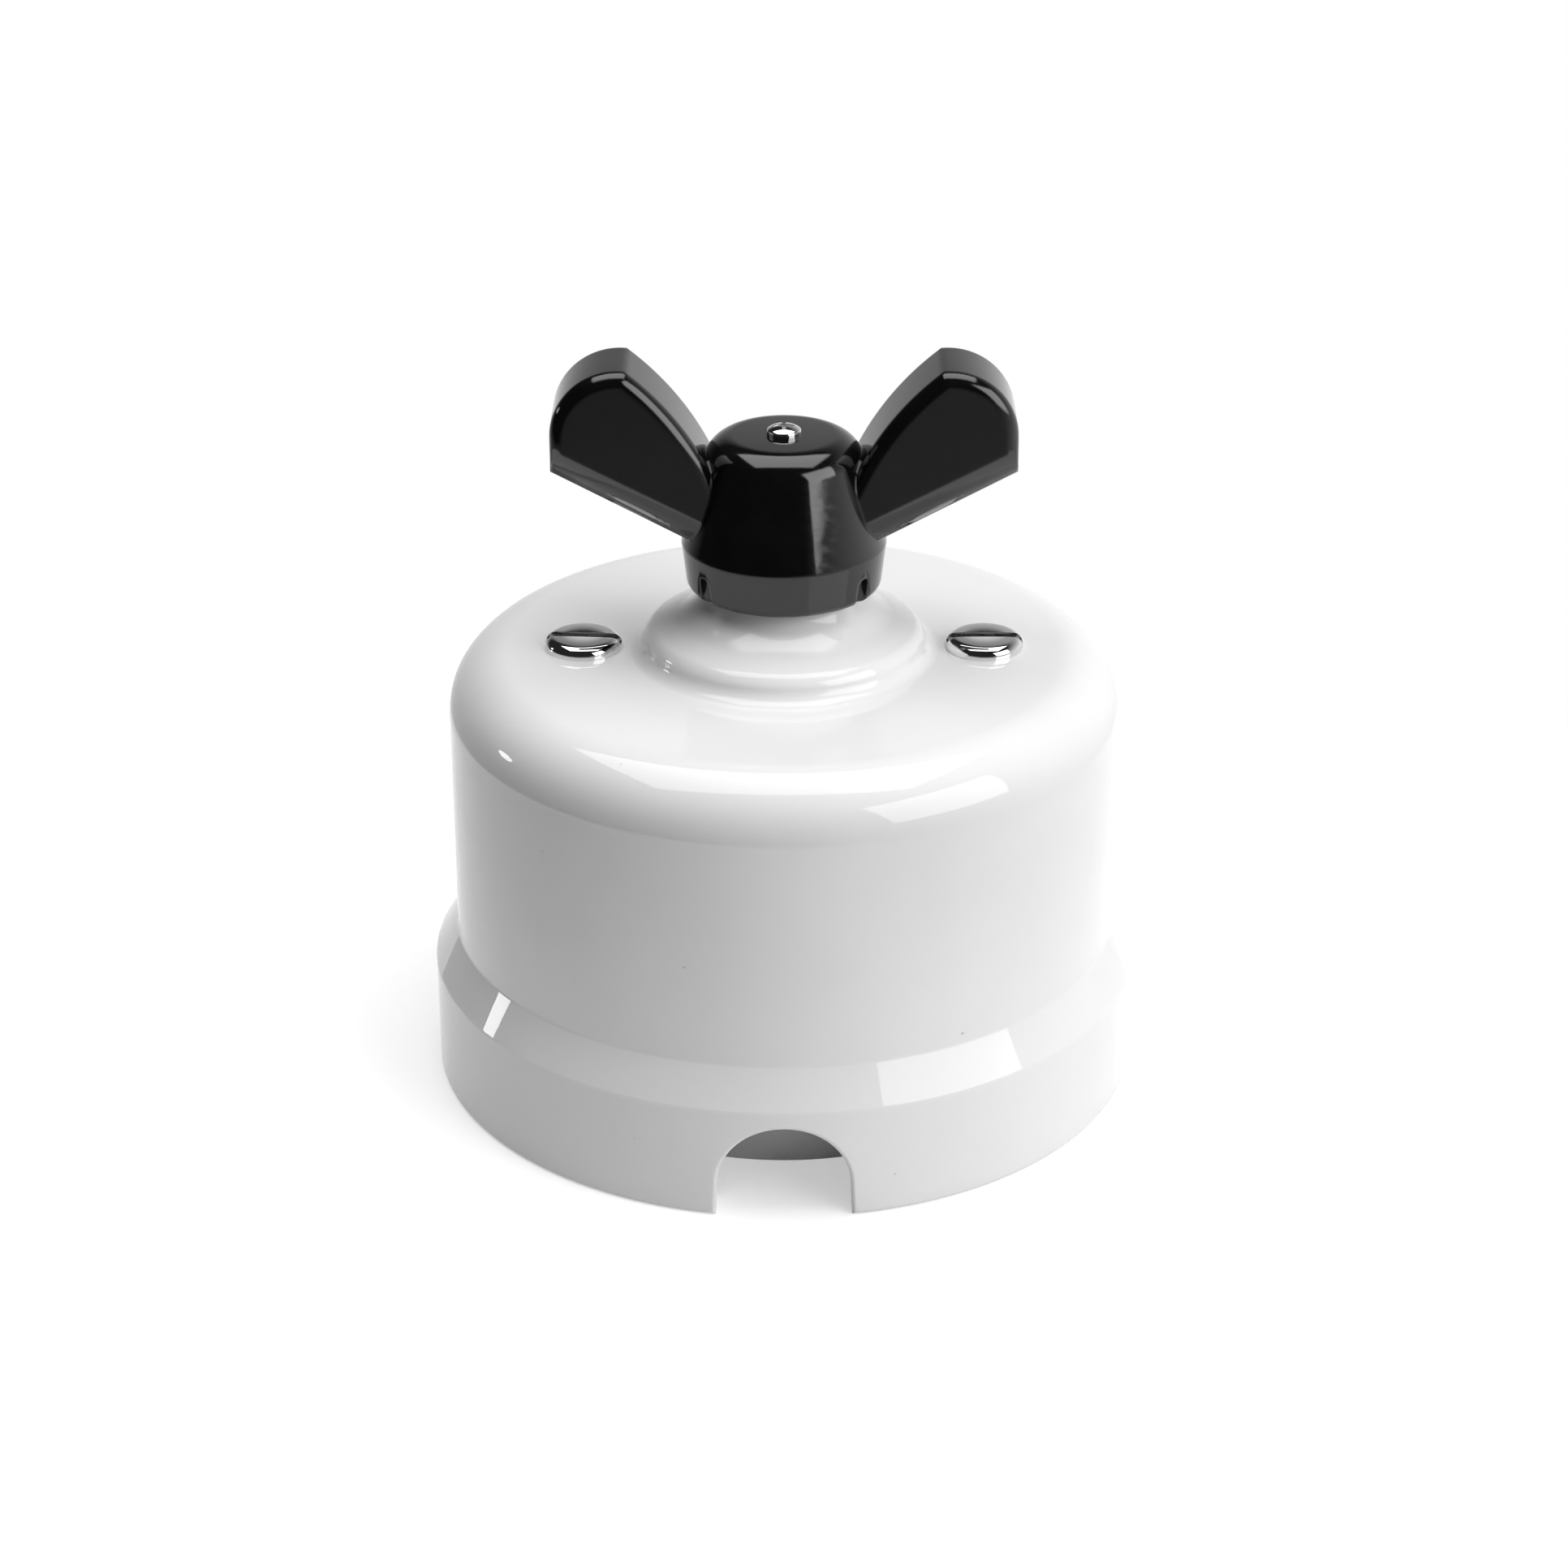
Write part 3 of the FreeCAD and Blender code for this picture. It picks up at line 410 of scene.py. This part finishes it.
def slot_blade(along_x, along_y, depth, crown, x=0.0, degrees=0.0):
    """The bar that cuts a straight screwdriver slot into a head."""
    above = 1.0
    blade = bmesh.new()
    bmesh.ops.create_cube(blade, size=1)
    bmesh.ops.scale(blade, vec=(along_x * mm, along_y * mm, 2 * above * mm), verts=blade.verts)
    turn = Matrix.Rotation(math.radians(degrees), 3, "Z")
    bmesh.ops.rotate(blade, cent=(0, 0, 0), matrix=turn, verts=blade.verts)
    bmesh.ops.translate(blade, vec=(x * mm, 0, (crown - depth + above) * mm), verts=blade.verts)
    return blade


def soften(shape, width, low):
    """Rounds the crisp edges above a height."""
    crisp = math.radians(50)
    sharp = [
        e for e in shape.edges
        if len(e.link_faces) == 2 and e.calc_face_angle(0) > crisp
        and min(v.co.z for v in e.verts) > low * mm
    ]
    rounded_edges(shape, sharp, width, 2, clamp=True)


crown, head_radius, shank_radius = 44.65, 3.75, 2.0
screw_end, end_radius, end_taper = 32.4, 1.6, 0.4
slot_length, slot_width, slot_depth = 9.0, 1.1, 0.8
for side, x, degrees in (("left", -screw_x, -4.0), ("right", screw_x, 0.0)):
    head = lathe([
        (0, crown, 0, 0), (2.2, crown - 0.02, 6, 2), (head_radius, crown - 0.08, 0.95, 10),
        (head_radius, top, 0, 0), (shank_radius, top, 0, 0), (shank_radius, screw_end + end_taper, 0, 0),
        (end_radius, screw_end, 0, 0), (0, screw_end, 0, 0),
    ], 96)
    bmesh.ops.translate(head, vec=(x * mm, 0, 0), verts=head.verts)
    blade = slot_blade(slot_length, slot_width, slot_depth, crown, x, degrees)
    screw = joined("cover screw", head, [blade], "DIFFERENCE")
    soften(screw, 0.07, top + 0.2)
    piece = "cover_screw_" + side
    to_piece(piece + "_chromed", screw, chrome, "base", [piece])

# Winged knob: one black phenolic moulding, polished.
# The hub is a cone with a rounded top, and the two wings grow out of its sides. The lower band
# carries four small grooves. Below, a recess takes the collar's neck and a square socket the spindle.
phenolic, tree, shader, place = node_material("black phenolic")
tone = ramp(tree, noise(tree, place, 300, 4), (0.3, 0.0025), (0.7, 0.0045))
tree.links.new(tone, shader.inputs["Base Color"])
strokes = tree.nodes.new("ShaderNodeMapping")
strokes.inputs["Rotation"].default_value = (0.0, 0.9, 0.5)
strokes.inputs["Scale"].default_value = (0.12, 1.0, 1.0)
tree.links.new(place, strokes.inputs["Vector"])
worn(tree, shader, noise(tree, strokes.outputs["Vector"], 1600, 4), (0.35, 0.05), (0.75, 0.13))
shader.inputs["IOR"].default_value = 1.65
soft_edges = tree.nodes.new("ShaderNodeBevel")
soft_edges.samples = 6
soft_edges.inputs["Radius"].default_value = 0.0004
bump(tree, shader, noise(tree, place, 250, 2), 0.1, 0.0001, before=soft_edges.outputs["Normal"])

knob_low, band_top, knob_high = 50.1, 54.64, 65.3
foot_radius, band_radius, cone_radius = 9.33, 9.86, 7.0
hub = lathe([
    (0, knob_low, 0, 0), (foot_radius, knob_low, 0.9, 6), (band_radius, band_top, 0.12, 2),
    (cone_radius, knob_high, 2.75, 14), (0, knob_high, 0, 0),
], 192)

# Each wing is a flat plate: a sloping lower edge, an upright end, a round shoulder and a hollow inner
# edge that runs down to the hub. Its outline is drawn in front and then given its thickness.
wing = bmesh.new()
half, slope = 4.6, math.tan(math.radians(28.05))
end_x, root_x, foot = 22.05, 6.46, knob_low + 0.86
shoulder, inner = Vector((15.55, 66.2)), Vector((32.1, 50.65))
shoulder_round, inner_round = 6.5, 27.95
tip = Vector((14.88, 72.665))
tip_angle = math.atan2(tip.y - shoulder.y, tip.x - shoulder.x)
start_angle = math.atan2(tip.y - inner.y, tip.x - inner.x)
end_angle = math.pi - math.acos((inner.x - root_x) / inner_round)


def wing_point(x, z):
    """A point of the wing's outline."""
    return wing.verts.new((x * mm, -half * mm, z * mm))


def wing_arc(start, centre, angle, steps):
    """Swings a point of the outline round a centre towards the hub, and gives the points in order."""
    known = set(wing.verts)
    bmesh.ops.spin(
        wing, geom=[start], cent=(centre.x * mm, -half * mm, centre.y * mm), axis=(0, -1, 0),
        angle=angle, steps=steps,
    )
    return sorted((v for v in wing.verts if v not in known), key=lambda v: -v.co.x)


outline = [wing_point(root_x, foot + root_x * slope), wing_point(end_x, foot + end_x * slope)]
outline.append(wing_point(shoulder.x + shoulder_round, shoulder.y))
outline += wing_arc(outline[-1], shoulder, tip_angle, 24)
outline += wing_arc(outline[-1], inner, end_angle - start_angle, 28)
thickened(wing, wing.faces.new(outline), 2 * half)


def wing_edges(low, high, from_x):
    """The edges of the wing's two flat sides that lie between two heights over its lower edge."""
    found = []
    for e in wing.edges:
        a, b = e.verts
        across = abs(a.co.y - b.co.y) > hair * mm
        if across or len(e.link_faces) != 2 or abs(abs(a.co.y) / mm - half) > 10 * hair:
            continue
        middle = (a.co + b.co) / 2 / mm
        over = middle.z - foot - middle.x * slope
        if low < over < high and middle.x > from_x:
            found.append(e)
    return found


lower_chamfer, upper_round = 1.35, 1.3
rounded_edges(wing, wing_edges(-0.02, 0.02, 0), lower_chamfer, 1)
rounded_edges(wing, wing_edges(0.5, math.inf, root_x + 0.05), upper_round, 8)
opposite = wing.copy()
half_turn = Matrix.Rotation(math.pi, 3, "Z")
bmesh.ops.rotate(opposite, cent=(0, 0, 0), matrix=half_turn, verts=opposite.verts)
winged = joined("knob", hub, [wing, opposite], "UNION")


def bar(radius, low, high, sides, turn=0.0):
    """An upright round or many-sided bar on the axis."""
    shape = bmesh.new()
    bmesh.ops.create_cone(
        shape, cap_ends=True, segments=sides, radius1=radius * mm, radius2=radius * mm,
        depth=(high - low) * mm,
        matrix=Matrix.Translation((0, 0, (low + high) / 2 * mm)) @ Matrix.Rotation(turn, 4, "Z"),
    )
    return shape


recess_radius, recess_top = 7.9, 54.0
socket_half, socket_top = 2.55, 61.2
screw_way = 1.125
hollows = [
    bar(recess_radius, knob_low - 1, recess_top, 128),
    bar(socket_half * math.sqrt(2), recess_top - 0.5, socket_top, 4, math.pi / 4),
    bar(screw_way, socket_top - 0.2, knob_high + 1, 32),
]
# Each groove is cut by a ball on a straight shaft, which runs out below the band.
groove_radius, groove_top, groove_foot, groove_place = 0.85, 52.2, 48.5, 9.15
for degrees in (-52, 52, 128, 232):
    groove = bmesh.new()
    bmesh.ops.create_uvsphere(
        groove, u_segments=24, v_segments=12, radius=groove_radius * mm,
        matrix=Matrix.Translation((0, 0, groove_top * mm)),
    )
    for v in groove.verts:
        out = math.hypot(v.co.x, v.co.y) / mm
        if v.co.z / mm > groove_top - 0.01:
            continue
        if out > hair:
            v.co.x, v.co.y = v.co.x / out * groove_radius, v.co.y / out * groove_radius
        v.co.z = (groove_foot + (v.co.z / mm - groove_top + 0.8) * 0.1) * mm
    place_out = Matrix.Translation((0, -groove_place * mm, 0))
    around_hub = Matrix.Rotation(math.radians(degrees), 4, "Z")
    bmesh.ops.transform(groove, matrix=around_hub @ place_out, verts=groove.verts)
    hollows.append(groove)
knob = joined("knob", winged, hollows, "DIFFERENCE")
bmesh.ops.remove_doubles(knob, verts=knob.verts[:], dist=1e-6)
to_piece("winged_knob", knob, phenolic, "knob", ["wing_knob"], 35)

# Knob screw: a small steel screw with a domed head and a cross slot, turned and chromed.
# It stands in the middle of the hub and holds the knob down on the spindle.
small_crown, small_head, small_shank, small_end = 66.25, 1.66, 1.0, 56.3
small_slot_length, small_slot_width, small_slot_depth = 1.9, 0.36, 0.3
head = lathe([
    (0, small_crown, 0, 0), (0.9, small_crown - 0.04, 2.2, 6), (small_head, small_crown - 0.47, 0.3, 4),
    (small_head, knob_high, 0, 0), (small_shank, knob_high, 0, 0), (small_shank, small_end, 0, 0),
    (0, small_end, 0, 0),
], 64)
for sizes in ((small_slot_width, small_slot_length), (small_slot_length, small_slot_width)):
    head = joined("knob screw", head, [slot_blade(*sizes, small_slot_depth, small_crown)], "DIFFERENCE")
soften(head, 0.03, knob_high + 0.3)
to_piece("knob_screw_chromed", head, chrome, "knob", ["knob_screw"])

# Works under the cover: brass pillars, terminals, bushes and spindle, steel screws and bridge,
# bronze contacts and springs, and the ceramic drum. They keep their CAD shapes.


def toned(name, metallic, scale, detail, dark, light):
    """A finish whose tone shifts a little over the piece."""
    material, tree, shader, place = node_material(name)
    shader.inputs["Metallic"].default_value = metallic
    tone = ramp(tree, noise(tree, place, scale, detail), (0.3, dark), (0.7, light))
    tree.links.new(tone, shader.inputs["Base Color"])
    return material, tree, shader, place


brass, tree, shader, place = toned("turned brass", 1, 250, 4, (0.6, 0.41, 0.16), (0.76, 0.56, 0.27))
worn(tree, shader, noise(tree, place, 500, 4), (0.3, 0.22), (0.7, 0.38))
bump(tree, shader, noise(tree, place, 1500, 3), 0.1, 0.0001)

steel, tree, shader, place = toned("plain steel", 1, 300, 4, (0.42, 0.42, 0.43), (0.58, 0.58, 0.59))
worn(tree, shader, noise(tree, place, 600, 4), (0.3, 0.25), (0.7, 0.42))
bump(tree, shader, noise(tree, place, 1800, 3), 0.1, 0.0001)

bronze, tree, shader, place = toned("spring bronze", 1, 250, 3, (0.5, 0.29, 0.14), (0.68, 0.44, 0.24))
shader.inputs["Roughness"].default_value = 0.32
bump(tree, shader, noise(tree, place, 1500, 3), 0.1, 0.0001)

biscuit, tree, shader, place = toned("unglazed ceramic", 0, 500, 5, (0.72, 0.69, 0.63), (0.82, 0.8, 0.75))
shader.inputs["Roughness"].default_value = 0.75
bump(tree, shader, noise(tree, place, 2500, 4), 0.25, 0.0001)

finishes = {
    "brass": brass, "steel": steel, "spring_bronze": bronze, "drum_ceramic": biscuit,
    "porcelain": glaze, "knob_black": phenolic, "chrome": chrome,
}
for entry in frame["record"]["subparts"]:
    node = frame["nodes"][entry["node"]]
    if not node.data.materials:
        node.data.materials.append(None)
    for i in range(len(node.data.materials)):
        node.data.materials[i] = finishes[entry["material_slot"]]

# Studio: a small round white table in a white room that is darker in front. One broad lamp hangs
# above, one stands at the right, and a small one far off at the left. A soft lamp in front lights
# the porcelain and leaves no mirror image in its gloss.
table_radius, table_white, table_lift = 0.12, 0.75, 0.47
table = bmesh.new()
bmesh.ops.create_circle(table, cap_ends=True, segments=128, radius=table_radius)
table_mesh = bpy.data.meshes.new("table")
table.to_mesh(table_mesh)
table.free()
table_top = bpy.data.objects.new("table", table_mesh)
bpy.context.scene.collection.objects.link(table_top)


def worked_out(tree, operation, first, second):
    """Works out one value from two outputs, or from an output and a number."""
    made = tree.nodes.new("ShaderNodeMath")
    made.operation = operation
    tree.links.new(first, made.inputs[0])
    if isinstance(second, float):
        made.inputs[1].default_value = second
    else:
        tree.links.new(second, made.inputs[1])
    return made.outputs["Value"]


paper = bpy.data.materials.new("white paper")
paper.use_nodes = True
tree = paper.node_tree
shader = tree.nodes["Principled BSDF"]
shader.inputs["Base Color"].default_value = (table_white, table_white, table_white, 1)
shader.inputs["Roughness"].default_value = 0.9
shader.inputs["Specular IOR Level"].default_value = 0.0
glow = tree.nodes.new("ShaderNodeEmission")
glow.inputs["Color"].default_value = (1, 1, 1, 1)
both = tree.nodes.new("ShaderNodeAddShader")
tree.links.new(shader.outputs["BSDF"], both.inputs[0])
tree.links.new(glow.outputs["Emission"], both.inputs[1])
tree.links.new(both.outputs["Shader"], tree.nodes["Material Output"].inputs["Surface"])
rays = tree.nodes.new("ShaderNodeLightPath")
seen = worked_out(tree, "MAXIMUM", rays.outputs["Is Camera Ray"], rays.outputs["Is Glossy Ray"])
seen = worked_out(tree, "MAXIMUM", seen, rays.outputs["Is Transmission Ray"])
tree.links.new(worked_out(tree, "MULTIPLY", seen, table_lift), glow.inputs["Strength"])
table_mesh.materials.append(paper)

world = bpy.data.worlds.new("studio")
bpy.context.scene.world = world
world.use_nodes = True
tree = world.node_tree
background = tree.nodes["Background"]
background.inputs["Color"].default_value = (1, 1, 1, 1)
rays = tree.nodes.new("ShaderNodeLightPath")
direction = tree.nodes.new("ShaderNodeTexCoord")
bright_side = tree.nodes.new("ShaderNodeVectorMath")
bright_side.operation = "DOT_PRODUCT"
bright_side.inputs[1].default_value = (0.41, 0.36, -0.75)
tree.links.new(direction.outputs["Generated"], bright_side.inputs[0])


def brightness(ends_at, brightest):
    """The room's brightness, from its dark side to its bright side."""
    made = tree.nodes.new("ShaderNodeMapRange")
    made.inputs["From Min"].default_value = -0.25
    made.inputs["From Max"].default_value = ends_at
    made.inputs["To Min"].default_value = 0.02
    made.inputs["To Max"].default_value = brightest
    tree.links.new(bright_side.outputs["Value"], made.inputs["Value"])
    return made.outputs["Result"]


mirrored = worked_out(tree, "MAXIMUM", rays.outputs["Is Glossy Ray"], rays.outputs["Is Transmission Ray"])
pick_mirrored = tree.nodes.new("ShaderNodeMix")
tree.links.new(mirrored, pick_mirrored.inputs["Factor"])
tree.links.new(brightness(0.93, 1.05), pick_mirrored.inputs["A"])
tree.links.new(brightness(0.6, 1.0), pick_mirrored.inputs["B"])
pick_camera = tree.nodes.new("ShaderNodeMix")
pick_camera.inputs["B"].default_value = 1.0
tree.links.new(rays.outputs["Is Camera Ray"], pick_camera.inputs["Factor"])
tree.links.new(pick_mirrored.outputs["Result"], pick_camera.inputs["A"])
tree.links.new(pick_camera.outputs["Result"], background.inputs["Strength"])


def lamp(name, place, aim, width, height, power, shape="RECTANGLE"):
    """A soft lamp that points at a place."""
    data = bpy.data.lights.new(name, "AREA")
    data.shape = shape
    data.size = width
    data.size_y = height
    data.energy = power
    made = bpy.data.objects.new(name, data)
    made.location = place
    made.rotation_euler = (Vector(aim) - Vector(place)).to_track_quat("-Z", "Y").to_euler()
    bpy.context.scene.collection.objects.link(made)
    return made


switch_middle = (0, 0, 0.03)
lamp("lamp above", (0, 0.05, 0.5), (0, 0.05, 0), 0.56, 0.42, 2.05)
lamp("lamp right", (0.663, -0.447, 0.412), switch_middle, 0.7, 0.56, 3.9)
lamp("lamp left", (-0.99, 0.257, 0.2), switch_middle, 0.14, 0.1, 0.3, "ELLIPSE")
lamp_front = lamp("lamp front", (0.2, -0.36, 0.9), switch_middle, 0.6, 0.6, 1.6)
lamp_front.visible_glossy = False

camera_data = bpy.data.cameras.new("camera")
camera_data.sensor_width = 36
camera_data.lens = 83.65
camera_data.clip_start = 0.01
camera_data.clip_end = 50
camera = bpy.data.objects.new("camera", camera_data)
camera.location = (0, -0.32592, 0.18406)
camera_aim = Vector((0, 0, 0.02853))
camera.rotation_euler = (camera_aim - camera.location).to_track_quat("-Z", "Y").to_euler()
bpy.context.scene.collection.objects.link(camera)
bpy.context.scene.camera = camera
bpy.context.scene.view_settings.view_transform = "Standard"
